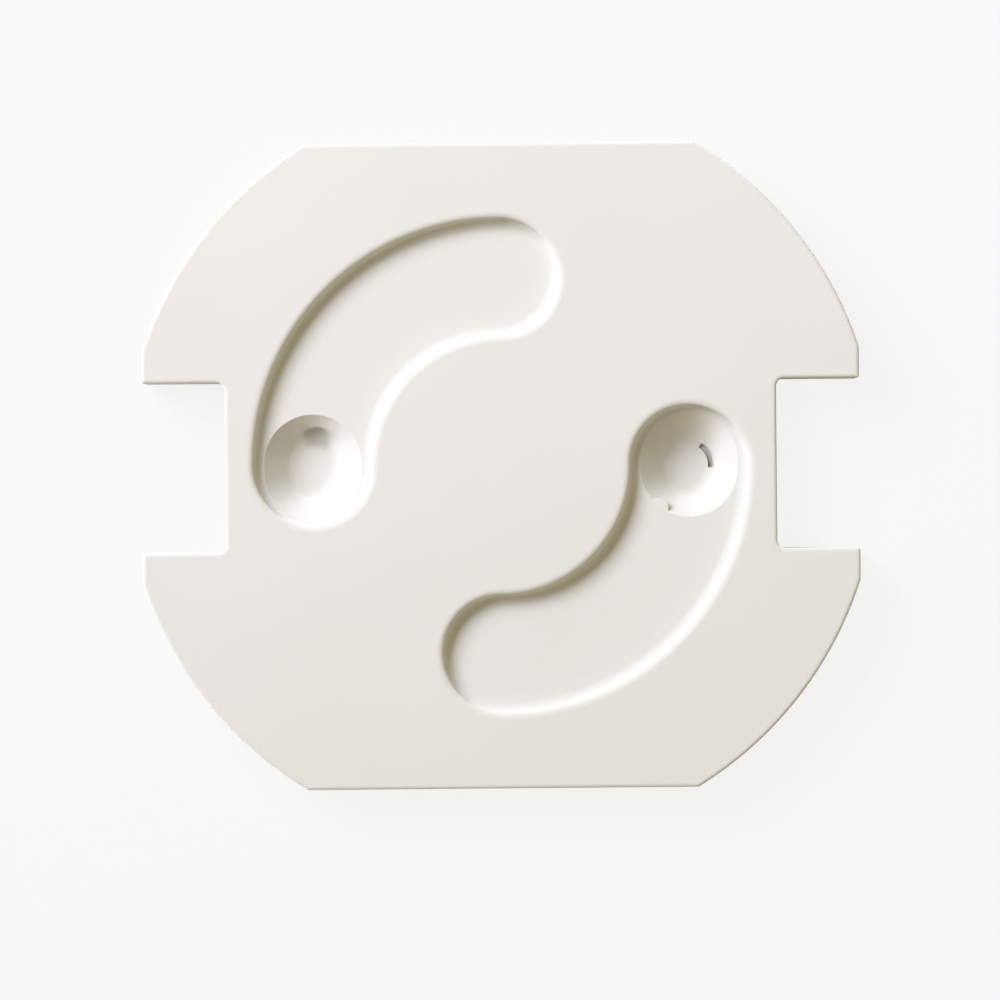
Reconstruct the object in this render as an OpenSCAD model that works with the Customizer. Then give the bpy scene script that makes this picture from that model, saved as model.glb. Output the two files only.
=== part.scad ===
// Outlet safety cover: a moulded plate that lies in the round recess of a wall
// socket and closes its two pin holes. Two curved pin tracks are sunk into its
// front. Each starts in a cone-shaped pit, and each side of the plate is notched
// for the socket's earth clip.
//
// Origin: centre of the back face. +X towards a notch, +Y towards a long flat,
// +Z out of the front face. Millimetres.

/* [Plate] */
// Width across the two short side flats
plate_width = 35; // [33:0.1:36.2]
// Height across the two long flats
plate_height = 31.5; // [29:0.1:33]
// Diameter of the round outline that the flats cut
plate_diameter = 36.8; // [36.4:0.1:38.4]
// Thickness from the back face to the front face
plate_thickness = 4; // [3.6:0.1:6]
// Radius of the front edge, all round the outline
front_edge_radius = 0.2; // [0.1:0.05:0.5]

/* [Earth clip notches] */
// Height of each notch, along the side of the plate
notch_height = 8.3; // [5:0.1:10]
// Distance between the floors of the two notches
notch_floor_span = 26.9; // [26:0.1:29]
// Radius of the inner corners of a notch
notch_corner_radius = 0.4; // [0.2:0.05:1]

/* [Pin tracks] */
// Radius of the circle that the middle of both tracks follows
track_radius = 9.2; // [8.8:0.1:9.4]
// Width of a track, halfway up its walls
track_width = 5.7; // [5.2:0.1:6]
// Depth of a track below the front face
track_depth = 1.1; // [0.9:0.05:1.4]
// Lean of the track's walls away from upright
track_draft = 6; // [2:1:10]
// Radius of the soft lip at the front face
track_lip_radius = 0.35; // [0.2:0.05:0.45]
// Radius at the foot of the walls, which the pits cut into
track_foot_radius = 0.5; // [0.35:0.05:0.55]

/* [Pin pits] */
// Width of a pit at its rim, across the track
pit_mouth_width = 4.75; // [4:0.05:4.8]
// Width of a pit's flat bottom
pit_floor_width = 2.2; // [1.6:0.1:3]
// How much longer than wide a pit is, along the track
pit_stretch = 0.4; // [0.2:0.1:0.8]
// Depth of a pit below the floor of its track
pit_depth = 1.9; // [1.4:0.1:2.1]

/* [Moulding marks] */
// Radius of the ball that shapes the dent in the wall of the left pit
dent_radius = 0.9; // [0.7:0.05:0.9]
// Radius of the burr on the rim of the right pit
burr_radius = 0.4; // [0.2:0.05:0.5]
// Width of the curved score at the bottom of the right pit
score_width = 0.26; // [0.1:0.02:0.3]

/* [Hidden] */

$fn = 96;

plastic = "#ece9e0";

// How far a cutter stands clear of the face that it leaves through
clear = 1;

// Straight pieces that stand for the two radii in a track's section
foot_steps = 7;
lip_steps = 6;

// Levels above the back face
track_floor_z = plate_thickness - track_depth;
pit_floor_z = track_floor_z - pit_depth;

// Half section of a track, seen along it: x is the distance from the track's
// middle line, y the height above its floor. The wall is a straight line at
// track_draft, and the arcs at its foot and lip touch that line.
function wall_x(height) = track_width / 2 + (height - track_depth / 2) * tan(track_draft);

foot_centre = [
    wall_x(track_foot_radius) - track_foot_radius / cos(track_draft),
    track_foot_radius
];
lip_centre = [
    wall_x(track_depth - track_lip_radius) + track_lip_radius / cos(track_draft),
    track_depth - track_lip_radius
];

// A plug turns this far along the tracks, from the pits to their far ends
quarter_turn = 90;

// Marks: the dent lies above the edge of its pit's bottom, clear of that bottom.
// The burr stands at the lower left of its rim. The score follows the right edge
// of the bottom and bites into the foot of the wall.
dent_angle = 82;
dent_clearance = 0.05;
dent_rise = dent_radius + dent_clearance;
burr_angle = 233;
burr_height = 0.5;
burr_drop = 0.03;
score_bite = 0.13;
score_radius = pit_floor_width / 2 + score_bite;
score_start = -8;
score_run = 66;
score_depth = 0.22;
score_headroom = 0.3;

// Points of an arc about a centre, from one angle to another
function arc_points(centre, radius, from, to, steps) = [
    for (step = [0:steps])
        let (angle = from + (to - from) * step / steps)
        centre + radius * [cos(angle), sin(angle)]
];

module track_section() {
    polygon(concat(
        [[0, 0]],
        arc_points(foot_centre, track_foot_radius, -90, -track_draft, foot_steps),
        arc_points(lip_centre, track_lip_radius, 180 - track_draft, 90, lip_steps),
        [[lip_centre.x, track_depth + clear], [0, track_depth + clear]]
    ));
}

// Half section of a pit, with its y axis starting at the floor of the track. The
// cone goes on above that floor, so that it also cuts the foot of the walls.
module pit_section() {
    overshoot = track_depth / 4;
    flare = (pit_mouth_width - pit_floor_width) / 2 / pit_depth;
    polygon([
        [0, -pit_depth],
        [pit_floor_width / 2, -pit_depth],
        [pit_mouth_width / 2 + flare * overshoot, overshoot],
        [0, overshoot]
    ]);
}

// Round end of a trough: half a turn of a half section, from an angle on
module round_end(start) {
    rotate_extrude(angle = 180, start = start) children();
}

// One pin track, clockwise from the +X side, as the space that it takes up
module track_space() {
    rotate_extrude(angle = quarter_turn, start = -quarter_turn) translate([track_radius, 0]) {
        track_section();
        mirror([1, 0]) track_section();
    }
    translate([track_radius, 0]) round_end(0) track_section();
    translate([0, -track_radius]) round_end(quarter_turn) track_section();
}

// The pit at the start of that track, drawn out a little along it
module pit_space() {
    translate([track_radius, 0]) {
        rotate([90, 0, 0]) linear_extrude(height = pit_stretch, center = true) {
            pit_section();
            mirror([1, 0]) pit_section();
        }
        translate([0, pit_stretch / 2]) round_end(0) pit_section();
        translate([0, -pit_stretch / 2]) round_end(180) pit_section();
    }
}

// Bar of the plate's thickness across one pair of flats, with rounded front edges
module rounded_bar(width) {
    rotate([90, 0, 0]) linear_extrude(height = plate_diameter + 2 * clear, center = true) {
        translate([-width / 2, 0])
            square([width, plate_thickness - front_edge_radius]);
        translate([front_edge_radius - width / 2, 0])
            square([width - 2 * front_edge_radius, plate_thickness]);
        for (side = [-1, 1]) {
            translate([side * (width / 2 - front_edge_radius), plate_thickness - front_edge_radius])
                circle(front_edge_radius);
        }
    }
}

// Round blank of the plate's thickness with a rounded front edge
module rounded_disc() {
    radius = plate_diameter / 2;
    rotate_extrude() {
        square([radius, plate_thickness - front_edge_radius]);
        square([radius - front_edge_radius, plate_thickness]);
        translate([radius - front_edge_radius, plate_thickness - front_edge_radius])
            intersection() {
                circle(front_edge_radius);
                square(front_edge_radius);
            }
    }
}

module blank() {
    intersection() {
        rounded_disc();
        rounded_bar(plate_width);
        rotate([0, 0, 90]) rounded_bar(plate_height);
    }
}

// Section of the strip that rounds an edge of a notch: x runs from the notch's
// wall into the plate, y from the start of the radius up to the front face
module edge_strip_section() {
    difference() {
        translate([-front_edge_radius, 0])
            square([2 * front_edge_radius, front_edge_radius + clear]);
        translate([front_edge_radius, 0]) circle(front_edge_radius);
        translate([front_edge_radius, -clear]) square(2 * clear + front_edge_radius);
    }
}

// Notch for one earth clip, at the +X side
module clip_notch() {
    floor_x = notch_floor_span / 2;
    corner_y = notch_height / 2 - notch_corner_radius;
    run = plate_width / 2 - floor_x + clear;
    strip_z = plate_thickness - front_edge_radius;

    // The opening itself, through the plate
    translate([0, 0, -clear]) linear_extrude(height = plate_thickness + 2 * clear) {
        translate([floor_x + notch_corner_radius, -notch_height / 2])
            square([run, notch_height]);
        translate([floor_x, -corner_y])
            square([run, 2 * corner_y]);
        for (side = [-1, 1]) {
            translate([floor_x + notch_corner_radius, side * corner_y])
                circle(notch_corner_radius);
        }
    }
    // Its rounded front edge: along the floor, round the corners, along the sides
    translate([floor_x, corner_y, strip_z]) rotate([90, 0, 0])
        linear_extrude(height = 2 * corner_y) mirror([1, 0]) edge_strip_section();
    for (side = [0, 1]) mirror([0, side]) {
        translate([floor_x + notch_corner_radius, corner_y, strip_z]) rotate([0, 0, 90])
            rotate_extrude(angle = 90) translate([notch_corner_radius, 0]) edge_strip_section();
        translate([floor_x + notch_corner_radius, notch_height / 2, strip_z])
            rotate([90, 0, 90]) linear_extrude(height = run) edge_strip_section();
    }
}

// One pin track with its pit, the pit at the +X side and the track running
// clockwise from it
module pin_track() {
    translate([0, 0, track_floor_z]) {
        track_space();
        pit_space();
    }
}

// Dent that a ball leaves in the wall of the left pit
module pit_dent() {
    translate([-track_radius, 0, pit_floor_z]) rotate([0, 0, dent_angle])
        translate([pit_floor_width / 2, 0, dent_rise]) sphere(dent_radius);
}

// Curved score along the right edge of the right pit's bottom
module pit_score() {
    translate([track_radius, 0, pit_floor_z])
        rotate_extrude(angle = score_run, start = score_start)
            translate([score_radius - score_width, -score_depth])
                square([score_width, score_depth + score_headroom]);
}

// Burr left standing on the rim of the right pit
module rim_burr() {
    translate([track_radius, -pit_stretch / 2, track_floor_z - burr_drop - burr_height])
        rotate([0, 0, burr_angle]) translate([pit_mouth_width / 2, 0])
            cylinder(r = burr_radius, h = burr_height);
}

module cover_plate() {
    color(plastic) {
        difference() {
            blank();
            for (turn = [0, 180]) rotate([0, 0, turn]) {
                clip_notch();
                pin_track();
            }
            pit_dent();
            pit_score();
        }
        rim_burr();
    }
}

cover_plate();
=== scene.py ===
"""Looks of a moulded outlet safety cover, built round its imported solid.

The cover is one ABS moulding. Its whole skin is worked out here as surfaces: a
rim carried round the outline, two sunk pin tracks, a cone-shaped pit in each
track, and the flat faces between them. Its sizes are millimetres, in the
plate's own frame: +X towards a notch, +Y towards a long flat, +Z out of the
front face, zero at the middle of the back. The studio's sizes are metres.
"""

from __future__ import annotations

import logging
import math
from dataclasses import dataclass, field
from enum import Enum

import bmesh
import bpy
import numpy as np
from mathutils import Matrix, Vector
from mathutils.geometry import tessellate_polygon


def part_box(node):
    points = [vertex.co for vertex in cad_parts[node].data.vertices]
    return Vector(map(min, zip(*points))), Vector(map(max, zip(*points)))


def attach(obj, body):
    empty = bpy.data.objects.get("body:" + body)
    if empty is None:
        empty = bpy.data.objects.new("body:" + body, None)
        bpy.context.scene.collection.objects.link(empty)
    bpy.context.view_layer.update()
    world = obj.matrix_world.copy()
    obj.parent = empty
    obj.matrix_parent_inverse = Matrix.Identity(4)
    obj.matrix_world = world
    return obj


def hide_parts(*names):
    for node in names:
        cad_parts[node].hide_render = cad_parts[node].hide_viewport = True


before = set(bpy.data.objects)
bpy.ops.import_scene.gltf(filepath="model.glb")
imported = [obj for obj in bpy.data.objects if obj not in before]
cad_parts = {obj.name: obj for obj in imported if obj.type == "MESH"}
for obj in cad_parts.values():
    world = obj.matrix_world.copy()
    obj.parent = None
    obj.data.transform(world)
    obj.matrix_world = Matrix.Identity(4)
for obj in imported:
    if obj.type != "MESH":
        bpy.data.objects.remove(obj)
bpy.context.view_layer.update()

LOG = logging.getLogger("outlet_cover")
NODE = "cover_plate"
BODY = "root"

# Metres in a millimetre
MM = 0.001

# Radius of the circle that a plug's pins turn on, which the tracks and pits follow
PIN_CIRCLE = 9.2

# Points nearer than this are one point of the shell
JOIN_DISTANCE = 0.0005


class Half(Enum):
    """The two halves of the cover, each the other one turned about the middle."""

    RIGHT = 0
    LEFT = 180

    @property
    def side(self) -> int:
        """One for the right half and minus one for the left."""
        return 1 if self is Half.RIGHT else -1


def linear(hex_colour: str) -> tuple[float, float, float, float]:
    """Turns an sRGB hex colour into linear light.

    Args:
        hex_colour: Six hex digits after a hash sign.

    Returns:
        Red, green and blue in linear light, and an alpha of one.
    """
    srgb = np.array([int(hex_colour[i : i + 2], 16) for i in (1, 3, 5)]) / 255
    light = np.where(srgb <= 0.04045, srgb / 12.92, ((srgb + 0.055) / 1.055) ** 2.4)
    return (*light.tolist(), 1.0)


def add_object(name: str, data: bpy.types.ID) -> bpy.types.Object:
    """Adds an object to the scene.

    Args:
        name: Its name.
        data: The mesh, light or camera that it shows.

    Returns:
        The new object.
    """
    new = bpy.data.objects.new(name, data)
    bpy.context.scene.collection.objects.link(new)
    return new


def empty_tree(owner: bpy.types.Material | bpy.types.World) -> bpy.types.NodeTree:
    """Gives a material or a world a node tree with nothing in it.

    Args:
        owner: The material or the world.

    Returns:
        Its node tree.
    """
    owner.use_nodes = True
    owner.node_tree.nodes.clear()
    return owner.node_tree


def add_node(
    tree: bpy.types.NodeTree, kind: str, sockets: dict[int | str, object] | None = None, **fields: object
) -> bpy.types.Node:
    """Adds a shader node with its settings and links.

    Args:
        tree: The node tree to add to.
        kind: The node's type name.
        sockets: Input name or number, to a plain value or to the output linked to it.
        **fields: Settings of the node itself.

    Returns:
        The new node.
    """
    node = tree.nodes.new(kind)
    for name, value in fields.items():
        setattr(node, name, value)
    for name, value in (sockets or {}).items():
        if isinstance(value, bpy.types.NodeSocket):
            tree.links.new(value, node.inputs[name])
        else:
            node.inputs[name].default_value = value
    return node


def add_noise(
    tree: bpy.types.NodeTree, place: bpy.types.NodeSocket, size_mm: float, detail: float, roughness: float
) -> bpy.types.NodeSocket:
    """Adds a noise pattern of a real size.

    Args:
        tree: The node tree to add to.
        place: The point's place on the object, in metres.
        size_mm: Size of the pattern's largest patches.
        detail: Number of finer layers.
        roughness: Share that each finer layer has of the one before.

    Returns:
        The output that gives the pattern, from zero to one.
    """
    sockets = {"Vector": place, "Scale": 1 / (size_mm * MM), "Detail": detail, "Roughness": roughness}
    return add_node(tree, "ShaderNodeTexNoise", sockets).outputs["Fac"]


def add_mix(
    tree: bpy.types.NodeTree, share: bpy.types.NodeSocket, first: object, second: object
) -> bpy.types.NodeSocket:
    """Adds a mix of two colours.

    A mix node has sockets for every kind of value. Those for colours are its
    inputs 6 and 7 and its output 2.

    Args:
        tree: The node tree to add to.
        share: Share of the second colour, from zero to one.
        first: The first colour, as a plain value or an output.
        second: The second colour, likewise.

    Returns:
        The output that gives the mixed colour.
    """
    sockets = {"Factor": share, 6: first, 7: second}
    return add_node(tree, "ShaderNodeMix", sockets, data_type="RGBA").outputs[2]


def add_fade(
    tree: bpy.types.NodeTree, value: bpy.types.NodeSocket, none: float, full: float, height: float
) -> bpy.types.NodeSocket:
    """Adds a smooth step from zero up to a height.

    Args:
        tree: The node tree to add to.
        value: The value that the step follows.
        none: The value up to which the step stays at zero.
        full: The value from which it stays at its height.
        height: The height.

    Returns:
        The output that gives the step.
    """
    sockets = {"Value": value, "From Min": none, "From Max": full, "To Min": 0.0, "To Max": height}
    step = add_node(tree, "ShaderNodeMapRange", sockets, interpolation_type="SMOOTHSTEP")
    return step.outputs["Result"]


def bend(before: np.ndarray, corner: np.ndarray, after: np.ndarray, radius: float, steps: int) -> np.ndarray:
    """Points of the arc that rounds a corner.

    The arc's centre lies on the corner's bisector, at the radius divided by the
    sine of half the corner's angle. Its arm turns evenly from one side's point
    of contact to the other's.

    Args:
        before: A point on the side that leads to the corner.
        corner: The sharp corner.
        after: A point on the side that leaves it.
        radius: Radius of the arc.
        steps: Number of pieces in the arc.

    Returns:
        An array of steps + 1 points.
    """
    into = (before - corner) / np.linalg.norm(before - corner)
    out = (after - corner) / np.linalg.norm(after - corner)
    half = math.acos(float(np.clip(into @ out, -1, 1))) / 2
    bisector = (into + out) / np.linalg.norm(into + out)
    centre = corner + bisector * radius / math.sin(half)
    first = corner + into * radius / math.tan(half) - centre
    last = corner + out * radius / math.tan(half) - centre
    turn = math.pi - 2 * half
    share = np.linspace(0, 1, steps + 1)[:, None]
    return centre + (np.sin((1 - share) * turn) * first + np.sin(share * turn) * last) / math.sin(turn)


def rounded_profile(corners: list[tuple[float, float, float, int]]) -> np.ndarray:
    """A profile with some of its corners rounded.

    Args:
        corners: For each corner its two coordinates, its radius and the number
            of pieces in its arc. The first and last are plain ends.

    Returns:
        The profile's points, in order.
    """
    points = np.array([corner[:2] for corner in corners])
    runs = [points[:1]]
    for index in range(1, len(corners) - 1):
        runs.append(bend(*points[index - 1 : index + 2], *corners[index][2:]))
    runs.append(points[-1:])
    return np.concatenate(runs)


def carry(path: np.ndarray, normal: np.ndarray, profile: np.ndarray) -> np.ndarray:
    """Carries a profile along a closed path.

    A surface point is the path's point, plus the path's normal times the
    profile's distance from it, at the profile's height.

    Args:
        path: Points of the path in plan.
        normal: The unit normal at each of them, in plan.
        profile: Distance from the path and height, one row for each point.

    Returns:
        A grid of points: a row for each profile point, a column for each path point.
    """
    plan = path[None] + normal[None] * profile[:, None, :1]
    height = np.broadcast_to(profile[:, None, 1:], (*plan.shape[:2], 1))
    return np.concatenate([plan, height], axis=2)


def reach_circle(
    start: np.ndarray, direction: np.ndarray, centre: np.ndarray, radius: np.ndarray | float
) -> tuple[np.ndarray, np.ndarray]:
    """How far along rays a circle begins and ends.

    With the arm from a ray's start to the centre, and the arm's share along the
    ray, the circle is met at that share less and plus the root of the radius
    squared, less the arm squared, plus the share squared.

    Args:
        start: Where each ray starts, in plan.
        direction: The unit direction of each ray.
        centre: Centre of the circle.
        radius: Its radius, or a column of radii, one for each row of the result.

    Returns:
        The distances at which each ray enters and leaves, and NaN where it misses.
    """
    arm = centre - start
    along = (arm * direction).sum(axis=1)
    inside = radius**2 - (arm**2).sum(axis=1) + along**2
    root = np.sqrt(np.where(inside > 0, inside, np.nan))
    return along - root, along + root


def turned(points: np.ndarray, half: Half) -> np.ndarray:
    """Points turned about the plate's middle, from the right half to the one given.

    Args:
        points: Points of the right half, with their three coordinates last.
        half: The half that they are wanted in.

    Returns:
        An array of the same shape.
    """
    angle = math.radians(half.value)
    spin = np.array([[math.cos(angle), math.sin(angle)], [-math.sin(angle), math.cos(angle)]])
    return np.concatenate([points[..., :2] @ spin, points[..., 2:]], axis=-1)


class Skin:
    """Collects surfaces of one closed shell and makes a mesh of them."""

    def __init__(self) -> None:
        """Starts with no points and no faces."""
        self.points: list[np.ndarray] = []
        self.faces: list[np.ndarray] = []
        self.count = 0

    def _add_points(self, points: np.ndarray) -> int:
        """Adds points.

        Args:
            points: Any grid or list of points, with their three coordinates last.

        Returns:
            The number of the first of them in the shell.
        """
        start = self.count
        self.points.append(points.reshape(-1, 3))
        self.count += self.points[-1].shape[0]
        return start

    def add_grid(self, grid: np.ndarray) -> None:
        """Adds a grid of points as quads, its last column joined to its first.

        Args:
            grid: Rows by columns by three coordinates.
        """
        rows, columns = grid.shape[:2]
        start = self._add_points(grid)
        row, column = np.meshgrid(np.arange(rows - 1), np.arange(columns), indexing="ij")
        here = start + row * columns + column
        beside = start + row * columns + (column + 1) % columns
        quads = np.stack([here, beside, beside + columns, here + columns], axis=-1)
        self.faces.append(quads.reshape(-1, 4))

    def add_flat(self, *loops: np.ndarray) -> None:
        """Adds a flat face with holes in it.

        Args:
            *loops: The outer loop's points, then those of each hole.
        """
        start = self._add_points(np.concatenate(loops))
        triangles = tessellate_polygon([[Vector(point) for point in loop] for loop in loops])
        self.faces.append(np.array(triangles) + start)

    def build(self, name: str) -> bpy.types.Object:
        """Makes the mesh: joins what meets and turns every face outwards.

        Args:
            name: Name of the new object.

        Returns:
            The new object, still in millimetres.
        """
        mesh = bpy.data.meshes.new(name)
        faces = [face for run in self.faces for face in run.tolist()]
        mesh.from_pydata(np.concatenate(self.points).tolist(), [], faces)
        work = bmesh.new()
        work.from_mesh(mesh)
        bmesh.ops.remove_doubles(work, verts=work.verts, dist=JOIN_DISTANCE)
        bmesh.ops.recalc_face_normals(work, faces=work.faces)
        work.to_mesh(mesh)
        work.free()
        return add_object(name, mesh)


def sink(piece: bpy.types.Object, cutters: list[bpy.types.Object]) -> None:
    """Sinks closed cutters into a closed piece, and removes them.

    Args:
        piece: The piece, whose mesh is replaced.
        cutters: The cutters.
    """
    for cutter in cutters:
        cut = piece.modifiers.new(cutter.name, "BOOLEAN")
        cut.operation = "DIFFERENCE"
        cut.solver = "EXACT"
        cut.object = cutter
    graph = bpy.context.evaluated_depsgraph_get()
    mesh = bpy.data.meshes.new_from_object(piece.evaluated_get(graph))
    piece.modifiers.clear()
    piece.data = mesh
    for cutter in cutters:
        bpy.data.objects.remove(cutter)


@dataclass(frozen=True)
class PaintedShade:
    """Painted shade held in a mark, as an arc about the middle of a pit.

    Its darker colour stands in for the shade in the score and the dent, and gives the eye a dull dark line
    or patch on the bright plastic.
    """

    half: Half
    radius: float
    half_width: float
    middle_degrees: float
    half_span_degrees: float
    feather: float
    strength: float
    # Colour of the painted shade, a dark olive grey
    colour: str = "#736d58"

    def mask(self, tree: bpy.types.NodeTree, place: bpy.types.NodeSocket) -> bpy.types.NodeSocket:
        """Adds the nodes that work out how much painted shade lies at a point.

        The share falls from the strength to nothing over the feather, once with
        the distance from the arc's circle, and once with the angle from its middle.
        The angle is read as its cosine, from the dot product with the middle's
        direction.

        Args:
            tree: The node tree to add to.
            place: The point's place on the object, in metres.

        Returns:
            The output that gives the share of painted shade.
        """
        centre = (self.half.side * PIN_CIRCLE * MM, 0.0, 0.0)
        middle = math.radians(self.middle_degrees)
        direction = (math.cos(middle), math.sin(middle), 0.0)
        plan = (1.0, 1.0, 0.0)
        flat = add_node(tree, "ShaderNodeVectorMath", {0: place, 1: plan}, operation="MULTIPLY")
        arm = add_node(tree, "ShaderNodeVectorMath", {0: flat.outputs[0], 1: centre}, operation="SUBTRACT")
        length = add_node(tree, "ShaderNodeVectorMath", {0: arm.outputs[0]}, operation="LENGTH")
        unit = add_node(tree, "ShaderNodeVectorMath", {0: arm.outputs[0]}, operation="NORMALIZE")
        turn = {0: unit.outputs[0], 1: direction}
        cosine = add_node(tree, "ShaderNodeVectorMath", turn, operation="DOT_PRODUCT")
        reach = {0: length.outputs["Value"], 1: self.radius * MM}
        apart = add_node(tree, "ShaderNodeMath", reach, operation="SUBTRACT")
        off = add_node(tree, "ShaderNodeMath", {0: apart.outputs[0]}, operation="ABSOLUTE")
        none_mm = self.half_width + self.feather
        full_mm = self.half_width - self.feather
        across = add_fade(tree, off.outputs[0], none_mm * MM, full_mm * MM, 1.0)
        span = math.radians(self.half_span_degrees)
        fade = self.feather / self.radius
        none = math.cos(span + fade)
        full = math.cos(span - fade)
        along = add_fade(tree, cosine.outputs["Value"], none, full, self.strength)
        share = add_node(tree, "ShaderNodeMath", {0: across, 1: along}, operation="MULTIPLY")
        return share.outputs[0]


@dataclass(frozen=True)
class MouldedAbs:
    """Off-white ABS moulded in a lightly eroded steel tool.

    The tool's fine texture breaks the gloss up into a satin sheen, and evens out
    the walls that face the light. The melt's flow leaves a slow, hardly visible
    change of tone. Painted shade darkens the score and the dent in the pits.
    """

    name: str = "moulded_abs_satin_off_white"
    colour: str = "#dad8cf"
    flow_colour: str = "#d6d3c9"
    roughness_low: float = 0.58
    roughness_high: float = 0.70
    diffuse_roughness: float = 1.0
    ior: float = 1.53
    grain_low: float = 0.3
    grain_high: float = 0.7
    grain_mm: float = 0.22
    grain_height_mm: float = 0.004
    wave_mm: float = 7.0
    wave_height_mm: float = 0.03
    flow_mm: float = 11.0
    # Painted shade: darker colour over the right pit's score and the left pit's dent, standing in for shade
    # in those recesses
    painted_shades: tuple[PaintedShade, ...] = (
        # Painted shade over the score in the right pit
        PaintedShade(
            half=Half.RIGHT,
            radius=1.12,
            half_width=0.14,
            middle_degrees=20.0,
            half_span_degrees=27.0,
            feather=0.1,
            strength=0.3,
        ),
        # Painted shade over the dent in the left pit's wall
        PaintedShade(
            half=Half.LEFT,
            radius=1.50,
            half_width=0.42,
            middle_degrees=82.0,
            half_span_degrees=24.0,
            feather=0.25,
            strength=0.34,
        ),
    )

    def tone(self, tree: bpy.types.NodeTree, place: bpy.types.NodeSocket) -> bpy.types.NodeSocket:
        """Adds the plastic's colour: two near tones mixed by its flow, and the painted shade over the score
        and the dent.

        Args:
            tree: The node tree to add to.
            place: The point's place on the object, in metres.

        Returns:
            The output that gives the colour.
        """
        flow = add_noise(tree, place, self.flow_mm, detail=3.0, roughness=0.5)
        tone = add_mix(tree, flow, linear(self.colour), linear(self.flow_colour))
        # Mixes in the painted shade over the score and the dent
        for painted_shade in self.painted_shades:
            tone = add_mix(tree, painted_shade.mask(tree, place), tone, linear(painted_shade.colour))
        return tone

    def relief(
        self, tree: bpy.types.NodeTree, place: bpy.types.NodeSocket, grain: bpy.types.NodeSocket
    ) -> bpy.types.NodeSocket:
        """Adds the skin's relief: the slow swell of a cooled wall under the tool's grain.

        Args:
            tree: The node tree to add to.
            place: The point's place on the object, in metres.
            grain: The output that gives the tool's grain.

        Returns:
            The output that gives the normal.
        """
        wave = add_noise(tree, place, self.wave_mm, detail=1.0, roughness=0.4)
        swell = add_node(
            tree,
            "ShaderNodeBump",
            {"Height": wave, "Strength": 1.0, "Distance": self.wave_height_mm * MM},
        )
        etched = add_node(
            tree,
            "ShaderNodeBump",
            {
                "Height": grain,
                "Strength": 1.0,
                "Distance": self.grain_height_mm * MM,
                "Normal": swell.outputs["Normal"],
            },
        )
        return etched.outputs["Normal"]

    def build(self) -> bpy.types.Material:
        """Makes the material, with every pattern on Object coordinates in metres.

        Returns:
            The new material.
        """
        material = bpy.data.materials.new(self.name)
        tree = empty_tree(material)
        place = add_node(tree, "ShaderNodeTexCoord").outputs["Object"]
        grain = add_noise(tree, place, self.grain_mm, detail=2.0, roughness=0.6)
        sheen = add_node(
            tree,
            "ShaderNodeMapRange",
            {
                "Value": grain,
                "From Min": self.grain_low,
                "From Max": self.grain_high,
                "To Min": self.roughness_low,
                "To Max": self.roughness_high,
            },
        )
        shader = add_node(
            tree,
            "ShaderNodeBsdfPrincipled",
            {
                "Base Color": self.tone(tree, place),
                "Roughness": sheen.outputs["Result"],
                "Normal": self.relief(tree, place, grain),
                "Diffuse Roughness": self.diffuse_roughness,
                "IOR": self.ior,
            },
        )
        add_node(tree, "ShaderNodeOutputMaterial", {"Surface": shader.outputs["BSDF"]})
        return material


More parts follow.
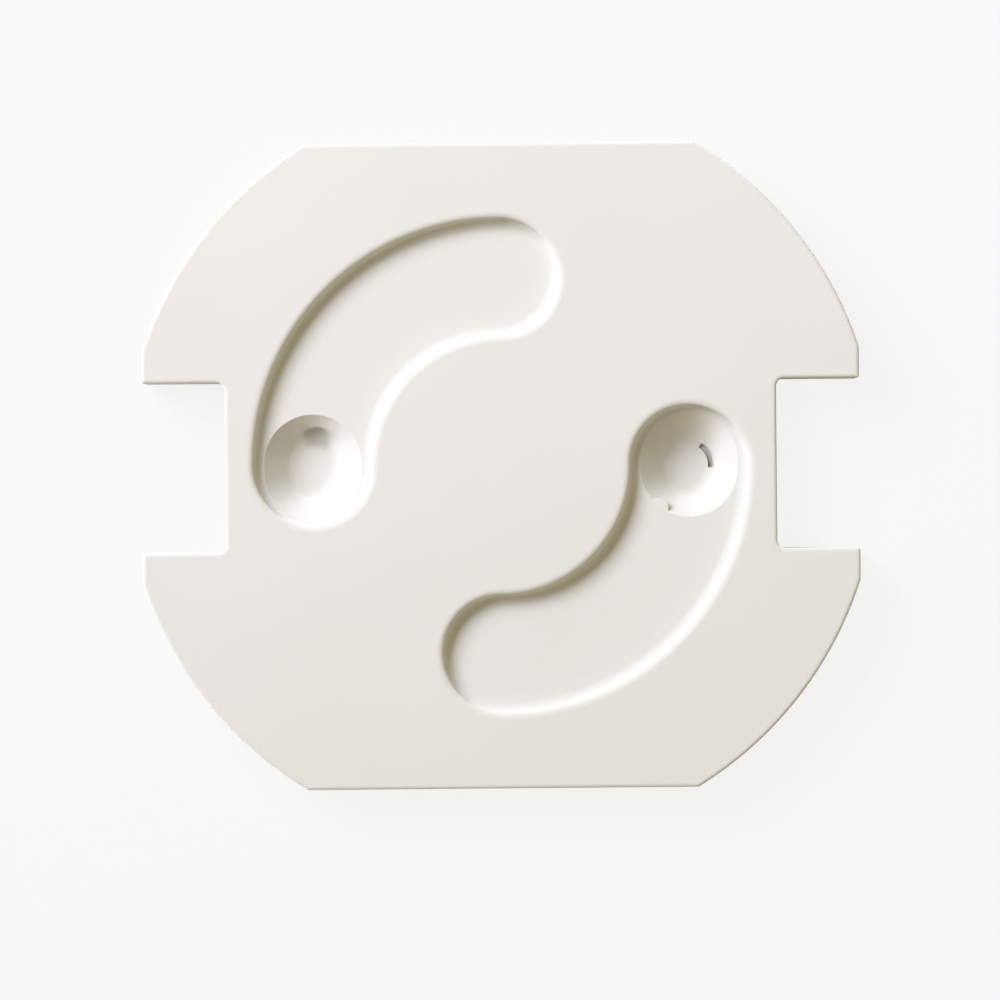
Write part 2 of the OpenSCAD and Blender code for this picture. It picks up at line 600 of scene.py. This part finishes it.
@dataclass
class Rim:
    """The plate's outline: a round cut by four flats, with a notch at each side."""

    width: float
    height: float
    thickness: float
    diameter: float = 36.8
    notch_height: float = 8.3
    notch_floor_span: float = 26.9
    notch_corner_radius: float = 0.4
    front_edge_radius: float = 0.2
    back_edge_radius: float = 0.06
    plan_corner_radius: float = 0.1
    least_radius: float = 0.012
    guard: float = 0.03
    arc_lead_degrees: float = 0.5
    arc_points: int = 72
    edge_steps: int = 9
    plan_steps: int = 4

    def quarter(self, inset: float) -> np.ndarray:
        """A quarter of the outline, moved into the plate by an inset.

        Every side moves by the inset along its normal. The notch's inner corner
        grows by it, and the outer corners shrink by it until they are sharp.

        Args:
            inset: Distance into the plate.

        Returns:
            Points from the middle of the notch's floor to the middle of the long flat.
        """
        side = self.width / 2 - inset
        top = self.height / 2 - inset
        reach = self.diameter / 2 - inset
        floor = self.notch_floor_span / 2 - inset
        notch = self.notch_height / 2 + inset
        low = math.acos(side / reach)
        high = math.asin(top / reach)
        lead = math.radians(self.arc_lead_degrees)
        turn = np.linspace(low + lead, high - lead, self.arc_points)[:, None]
        arc = reach * np.concatenate([np.cos(turn), np.sin(turn)], axis=1)
        middle = np.array([floor, 0.0])
        inner = np.array([floor, notch])
        mouth = np.array([side, notch])
        shoulder = np.array([side, reach * math.sin(low)])
        brow = np.array([reach * math.cos(high), top])
        crown = np.array([0.0, top])
        outer_radius = max(self.plan_corner_radius - inset, self.least_radius)
        inner_radius = self.notch_corner_radius + inset
        return np.concatenate(
            [
                middle[None],
                bend(middle, inner, mouth, inner_radius, 3 * self.plan_steps),
                bend(inner, mouth, shoulder, outer_radius, self.plan_steps),
                bend(mouth, shoulder, arc[0], outer_radius, self.plan_steps),
                arc,
                bend(arc[-1], brow, crown, outer_radius, self.plan_steps),
                crown[None],
            ]
        )

    def loop(self, inset: float) -> np.ndarray:
        """The whole outline at an inset: its quarter and that quarter's mirror images.

        Args:
            inset: Distance into the plate.

        Returns:
            Points once round the plate, in plan.
        """
        first = self.quarter(inset)
        second = first[::-1] * np.array([-1.0, 1.0])
        return np.concatenate([first[:-1], second[:-1], -first[:-1], -second[:-1]])

    def surface(self) -> np.ndarray:
        """The rim as a grid, from just inside the front edge to just inside the back edge.

        Its profile gives an inset and a height for each row, and each row is the
        outline at that inset and height.

        Returns:
            Rows by columns by three coordinates.
        """
        profile = rounded_profile(
            [
                (self.front_edge_radius + self.guard, self.thickness, 0.0, 0),
                (0.0, self.thickness, self.front_edge_radius, self.edge_steps),
                (0.0, 0.0, self.back_edge_radius, self.plan_steps),
                (self.back_edge_radius + self.guard, 0.0, 0.0, 0),
            ]
        )
        plan = np.stack([self.loop(inset) for inset in profile[:, 0]])
        height = np.broadcast_to(profile[:, 1, None, None], (*plan.shape[:2], 1))
        return np.concatenate([plan, height], axis=2)


@dataclass
class PinTrack:
    """A sunk track, a quarter turn long, with the same section round both its ends."""

    top: float
    radius: float = PIN_CIRCLE
    width: float = 5.7
    depth: float = 1.1
    draft_degrees: float = 6.0
    lip_radius: float = 0.35
    foot_radius: float = 0.5
    guard: float = 0.03
    run_points: int = 96
    end_points: int = 64
    lip_steps: int = 10
    foot_steps: int = 14

    @property
    def floor(self) -> float:
        """Height of the track's floor above the back face."""
        return self.top - self.depth

    def section(self) -> np.ndarray:
        """Half the track's section, from the front face to its floor.

        The wall leans by the draft about its middle height, and its two corners
        are rounded.

        Returns:
            Distance from the track's middle line and height, for each point.
        """
        lean = math.tan(math.radians(self.draft_degrees)) * self.depth / 2
        lip = self.width / 2 + lean
        foot = self.width / 2 - lean
        return rounded_profile(
            [
                (lip + self.lip_radius + self.guard, self.top, 0.0, 0),
                (lip, self.top, self.lip_radius, self.lip_steps),
                (foot, self.floor, self.foot_radius, self.foot_steps),
                (foot - self.foot_radius - self.guard, self.floor, 0.0, 0),
            ]
        )

    def surface(self, half: Half) -> np.ndarray:
        """The track's wall as a grid, carried once round the track.

        The path goes along the middle circle with its normal outwards, turns its
        normal half round at the far end, comes back with it inwards, and turns
        it half round again at the pit.

        Args:
            half: Which half of the cover.

        Returns:
            Rows by columns by three coordinates.
        """
        run = np.linspace(0, -math.pi / 2, self.run_points, endpoint=False)
        far = np.linspace(-math.pi / 2, -3 * math.pi / 2, self.end_points, endpoint=False)
        back = np.linspace(-math.pi / 2, 0, self.run_points, endpoint=False)
        near = np.linspace(math.pi, 0, self.end_points, endpoint=False)
        place = np.concatenate([run, np.full_like(far, -math.pi / 2), back, np.zeros_like(near)])
        facing = np.concatenate([run, far, back + math.pi, near])
        path = self.radius * np.stack([np.cos(place), np.sin(place)], axis=1)
        normal = np.stack([np.cos(facing), np.sin(facing)], axis=1)
        return turned(carry(path, normal, self.section()), half)


@dataclass
class PinPit:
    """A blind cone at the start of a track, drawn out a little along it.

    It is made as the space that it takes up. The left one has a dent in its wall.
    The right one has a burr on its rim and a curved score along the edge of its
    bottom. Angles are in the pit's own frame, before the left one is turned.
    """

    top: float
    overshoot: float
    radius: float = PIN_CIRCLE
    mouth_width: float = 4.75
    floor_width: float = 2.2
    stretch: float = 0.4
    depth: float = 1.9
    turn_points: int = 192
    rim_rows: int = 6
    burr_rows: int = 8
    wall_rows: int = 30
    foot_rows: int = 10
    floor_rows: int = 8
    foot_radius: float = 0.7
    dent_radius: float = 0.9
    dent_degrees: float = -98.0
    dent_clearance: float = 0.05
    burr_radius: float = 0.4
    burr_degrees: float = 233.0
    burr_height: float = 0.5
    burr_drop: float = 0.03
    score_bite: float = 0.13
    score_width: float = 0.26
    score_depth: float = 0.22
    score_headroom: float = 0.3
    score_steps: int = 16
    score_degrees: tuple[float, float] = (-8.0, 58.0)

    @staticmethod
    def aim(degrees: float) -> np.ndarray:
        """The unit direction in plan at an angle.

        Args:
            degrees: The angle, from the pit's +X.

        Returns:
            Its two coordinates.
        """
        return np.array([math.cos(math.radians(degrees)), math.sin(math.radians(degrees))])

    def rays(self) -> tuple[np.ndarray, np.ndarray]:
        """Rays all the way round, from the middles of the pit's two round ends.

        Returns:
            Where each ray starts and its unit direction, in plan.
        """
        upper = np.linspace(0, math.pi, self.turn_points // 2)
        facing = np.concatenate([upper, upper + math.pi])
        direction = np.stack([np.cos(facing), np.sin(facing)], axis=1)
        end = np.repeat([0.5, -0.5], len(upper)) * self.stretch
        return np.stack([np.zeros_like(end), end], axis=1), direction

    def section(self) -> tuple[np.ndarray, np.ndarray]:
        """The section of the plain pit, from above its rim to the flat of its bottom.

        The wall is a straight line. The arc at its foot touches that line and the
        bottom, so its middle stands inside the bottom's edge by its radius times
        the tangent of half the angle that the wall turns through.

        Returns:
            A column of heights, and a column of the distances reached there.
        """
        flare = (self.mouth_width - self.floor_width) / 2 / self.depth
        lean = math.atan(flare)
        turn = np.linspace(lean, math.pi / 2, self.foot_rows + 1)
        foot_height = self.foot_radius * (1 - np.sin(turn)) - self.depth
        foot_middle = self.floor_width / 2 - self.foot_radius * math.tan(math.pi / 4 - lean / 2)
        runs = [
            np.linspace(self.overshoot, -self.burr_drop, self.rim_rows),
            np.linspace(-self.burr_drop, -self.burr_height, self.burr_rows),
            np.linspace(-self.burr_height, foot_height[0], self.wall_rows, endpoint=False),
        ]
        height = np.concatenate(runs)
        cone = self.floor_width / 2 + flare * (height + self.depth)
        foot = foot_middle + self.foot_radius * np.cos(turn)
        return np.concatenate([height, foot_height])[:, None], np.concatenate([cone, foot])[:, None]

    def dent_reach(self, start: np.ndarray, direction: np.ndarray, height: np.ndarray) -> np.ndarray:
        """How far rays reach through the dent, which is part of a ball.

        At each height the ball is a circle, whose radius squared is the ball's
        less the square of the height above its middle.

        Args:
            start: Where each ray starts, in plan.
            direction: The unit direction of each ray.
            height: A column of heights.

        Returns:
            The distances, and NaN where a ray misses the dent.
        """
        centre = self.floor_width / 2 * self.aim(self.dent_degrees)
        level = self.dent_radius + self.dent_clearance - self.depth
        ball = np.sqrt(np.clip(self.dent_radius**2 - (height - level) ** 2, 0, None))
        return reach_circle(start, direction, centre, ball)[1]

    def burr_reach(self, start: np.ndarray, direction: np.ndarray) -> np.ndarray:
        """How far rays reach before they meet the burr, an upright round lug.

        Args:
            start: Where each ray starts, in plan.
            direction: The unit direction of each ray.

        Returns:
            The distances, and NaN where a ray misses the burr.
        """
        rim_end = np.array([0, -self.stretch / 2])
        centre = rim_end + self.mouth_width / 2 * self.aim(self.burr_degrees)
        near, far = reach_circle(start, direction, centre, self.burr_radius)
        return np.where(far > 0, near, np.nan)

    def surface(self, half: Half) -> np.ndarray:
        """The pit's space as a grid, from above its rim down its wall and in to its middle.

        At each height a ray reaches the plain wall, or the dent if that lies
        farther, or the burr if that lies nearer.

        Args:
            half: Which half of the cover.

        Returns:
            Rows by columns by three coordinates. The last row is a single point.
        """
        start, direction = self.rays()
        height, reach = self.section()
        reach = np.repeat(reach, len(start), axis=1)
        if half is Half.LEFT:
            reach = np.fmax(reach, self.dent_reach(start, direction, height))
        else:
            burr = slice(self.rim_rows, self.rim_rows + self.burr_rows)
            reach[burr] = np.fmin(reach[burr], self.burr_reach(start, direction))
        height = np.broadcast_to(height[..., None], (*reach.shape, 1))
        wall = np.concatenate([start[None] + direction[None] * reach[..., None], height], axis=2)
        middle = np.array([0.0, 0.0, -self.depth])
        share = np.linspace(1, 0, self.floor_rows + 1)[1:, None, None]
        grid = np.concatenate([wall, middle + (wall[-1] - middle) * share])
        return turned(grid + np.array([self.radius, 0.0, self.top]), half)

    def score_surface(self) -> np.ndarray:
        """The score's space: a rectangle carried along an arc about the pit's middle.

        Returns:
            A grid of points: a row for each step of the arc, a column for each corner.
        """
        outer = self.floor_width / 2 + self.score_bite
        across = np.array([outer - self.score_width, outer, outer, outer - self.score_width])
        height = np.array([-self.score_depth, -self.score_depth, self.score_headroom, self.score_headroom])
        turn = np.radians(np.linspace(*self.score_degrees, self.score_steps + 1))[:, None]
        height = np.broadcast_to(height - self.depth, (len(turn), 4))
        grid = np.stack([np.cos(turn) * across, np.sin(turn) * across, height], axis=2)
        return grid + np.array([self.radius, 0.0, self.top])

    @staticmethod
    def cutter(name: str, grid: np.ndarray, *ends: np.ndarray) -> bpy.types.Object:
        """Closes a grid with flat ends and makes a cutter of it.

        Args:
            name: Name of the cutter.
            grid: Rows by columns by three coordinates.
            *ends: The rows that need a flat face.

        Returns:
            The new cutter.
        """
        space = Skin()
        space.add_grid(grid)
        for end in ends:
            space.add_flat(end)
        return space.build(name)

    def build(self, half: Half) -> list[bpy.types.Object]:
        """Builds the closed spaces of a pit and of its score, to be sunk into the plate.

        Args:
            half: Which half of the cover.

        Returns:
            The cutters: the pit's, and in the right half the score's.
        """
        pit = self.surface(half)
        cutters = [self.cutter(f"pit_{half.name.lower()}", pit, pit[0])]
        if half is Half.RIGHT:
            score = self.score_surface()
            cutters.append(self.cutter("score", score, score[0], score[-1]))
        return cutters


@dataclass
class CoverPlate:
    """The whole moulding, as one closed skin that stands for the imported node."""

    rim: Rim
    track: PinTrack
    pit: PinPit
    finish: MouldedAbs = field(default_factory=MouldedAbs)
    sharp_degrees: float = 40.0

    def build(self) -> bpy.types.Object:
        """Builds the skin, dresses it and lets it stand for the CAD node.

        Returns:
            The new piece.
        """
        skin = Skin()
        rim = self.rim.surface()
        tracks = [self.track.surface(half) for half in Half]
        skin.add_grid(rim)
        skin.add_flat(rim[0], *(track[0] for track in tracks))
        skin.add_flat(rim[-1])
        for track in tracks:
            skin.add_grid(track)
            skin.add_flat(track[-1])
        piece = skin.build("moulded_cover")
        sink(piece, [cutter for half in Half for cutter in self.pit.build(half)])
        piece.data.transform(Matrix.Scale(MM, 4))
        piece.data.shade_smooth()
        piece.data.set_sharp_from_angle(angle=math.radians(self.sharp_degrees))
        piece.data.materials.append(self.finish.build())
        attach(piece, BODY)
        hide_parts(NODE)
        return piece


@dataclass(frozen=True)
class SoftLamp:
    """A square soft box with a grid, aimed past the middle of the cover.

    The grid narrows its beam, so the light falls off away from where it aims.
    """

    name: str
    azimuth_degrees: float
    elevation_degrees: float
    distance: float
    size: float
    spread_degrees: float
    aim: tuple[float, float, float]
    level: float
    colour: str

    def build(self) -> bpy.types.Object:
        """Makes the lamp.

        Its power is its level times pi squared times its distance squared, which
        keeps the light on the cover as it is when only the distance changes.

        Returns:
            The lamp, hidden from the camera.
        """
        azimuth = math.radians(self.azimuth_degrees)
        elevation = math.radians(self.elevation_degrees)
        away = Vector(
            (
                math.cos(elevation) * math.cos(azimuth),
                math.cos(elevation) * math.sin(azimuth),
                math.sin(elevation),
            )
        )
        light = bpy.data.lights.new(self.name, "AREA")
        light.shape = "SQUARE"
        light.size = self.size
        light.spread = math.radians(self.spread_degrees)
        light.energy = self.level * math.pi**2 * self.distance**2
        light.color = linear(self.colour)[:3]
        lamp = add_object(self.name, light)
        lamp.location = away * self.distance
        lamp.rotation_mode = "QUATERNION"
        lamp.rotation_quaternion = (lamp.location - Vector(self.aim)).to_track_quat("Z", "Y")
        lamp.visible_camera = False
        return lamp


@dataclass
class Studio:
    """The pale floor, the soft light and the camera straight above the cover.

    The warm world fills the shadows with olive, and the cool key light keeps the
    faces that it reaches near white. The floor lies a hair below the cover's back,
    so that the two faces don't share a plane.
    """

    backdrop: str = "#f7f7f7"
    floor_colour: str = "#f2f2f0"
    floor_half: float = 1.5
    floor_drop: float = 0.00002
    floor_glow: float = 0.93
    world_colour: str = "#fff0c4"
    world_level: float = 0.43
    lamps: tuple[SoftLamp, ...] = (
        SoftLamp(
            name="key_soft_box",
            azimuth_degrees=136.0,
            elevation_degrees=47.0,
            distance=0.30,
            size=0.17,
            spread_degrees=90.0,
            aim=(0.008, 0.06, 0.0),
            level=0.515,
            colour="#e2e8ff",
        ),
    )
    pixels_per_mm: float = 20.51
    image_size: int = 1000
    centre_pixel: tuple[float, float] = (501.0, 465.5)
    roll_degrees: float = 0.5
    camera_distance: float = 0.36
    near_clip: float = 0.018
    far_clip: float = 10.0
    sensor_mm: float = 36.0

    def build_floor(self) -> bpy.types.Object:
        """Makes the floor, which the camera sees as the plain backdrop with a faint shadow.

        Returns:
            The floor.
        """
        mesh = bpy.data.meshes.new("floor")
        corners = np.array([[-1, -1, 0], [1, -1, 0], [1, 1, 0], [-1, 1, 0]]) * self.floor_half
        corners = corners - np.array([0, 0, self.floor_drop])
        mesh.from_pydata(corners.tolist(), [], [(0, 1, 2, 3)])
        material = bpy.data.materials.new("painted_board_floor")
        tree = empty_tree(material)
        board = add_node(tree, "ShaderNodeBsdfDiffuse", {"Color": linear(self.floor_colour)})
        glow = add_node(tree, "ShaderNodeEmission", {"Color": linear(self.backdrop), "Strength": 1.0})
        ray = add_node(tree, "ShaderNodeLightPath")
        seen = add_node(
            tree,
            "ShaderNodeMath",
            {0: ray.outputs["Is Camera Ray"], 1: self.floor_glow},
            operation="MULTIPLY",
        )
        mixed = add_node(
            tree,
            "ShaderNodeMixShader",
            {0: seen.outputs[0], 1: board.outputs[0], 2: glow.outputs[0]},
        )
        add_node(tree, "ShaderNodeOutputMaterial", {"Surface": mixed.outputs[0]})
        mesh.materials.append(material)
        floor = add_object("floor", mesh)
        return floor

    def build_world(self) -> None:
        """Makes the world: an even soft light, and the backdrop's colour to the camera."""
        world = bpy.data.worlds.new("studio")
        tree = empty_tree(world)
        ray = add_node(tree, "ShaderNodeLightPath")
        dome = add_node(
            tree,
            "ShaderNodeBackground",
            {"Color": linear(self.world_colour), "Strength": self.world_level},
        )
        backdrop = add_node(tree, "ShaderNodeBackground", {"Color": linear(self.backdrop), "Strength": 1.0})
        mixed = add_node(
            tree,
            "ShaderNodeMixShader",
            {0: ray.outputs["Is Camera Ray"], 1: dome.outputs[0], 2: backdrop.outputs[0]},
        )
        add_node(tree, "ShaderNodeOutputWorld", {"Surface": mixed.outputs[0]})
        bpy.context.scene.world = world

    def build_camera(self, front: float) -> bpy.types.Object:
        """Makes the camera, which looks straight down on the cover.

        The lens is the sensor's width times the camera's distance to the front
        face, divided by the width of the view there. Lens and sensor are in
        millimetres, as Blender has them.

        Args:
            front: Height of the cover's front face, in metres.

        Returns:
            The camera.
        """
        view_width = self.image_size / self.pixels_per_mm * MM
        pixel = MM / self.pixels_per_mm
        roll = Matrix.Rotation(-math.radians(self.roll_degrees), 4, "Z")
        across = (self.image_size / 2 - self.centre_pixel[0]) * pixel
        up = (self.centre_pixel[1] - self.image_size / 2) * pixel
        data = bpy.data.cameras.new("camera")
        data.sensor_width = self.sensor_mm
        data.lens = self.sensor_mm * self.camera_distance / view_width
        data.clip_start = self.near_clip
        data.clip_end = self.far_clip
        camera = add_object("camera", data)
        aim = roll @ Vector((across, up, 0.0))
        camera.matrix_world = Matrix.Translation((aim.x, aim.y, front + self.camera_distance)) @ roll
        bpy.context.scene.camera = camera
        return camera

    def build(self, front: float) -> None:
        """Builds the floor, the world, the lamps and the camera.

        Args:
            front: Height of the cover's front face, in metres.
        """
        self.build_camera(front)
        self.build_floor()
        self.build_world()
        for lamp in self.lamps:
            lamp.build()


def main() -> None:
    """Builds the cover and its studio in order, and logs the cover's number of faces."""
    logging.basicConfig(level=logging.INFO, format="%(message)s")
    bpy.context.scene.view_settings.view_transform = "Standard"
    low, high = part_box(NODE)
    width, height, thickness = (edge / MM for edge in high - low)
    Studio().build(high.z)
    track = PinTrack(top=thickness)
    pit = PinPit(top=track.floor, overshoot=track.depth / 4)
    cover = CoverPlate(Rim(width, height, thickness), track, pit)
    piece = cover.build()
    LOG.info("%s: %d faces", piece.name, len(piece.data.polygons))


if __name__ == "__main__":
    main()
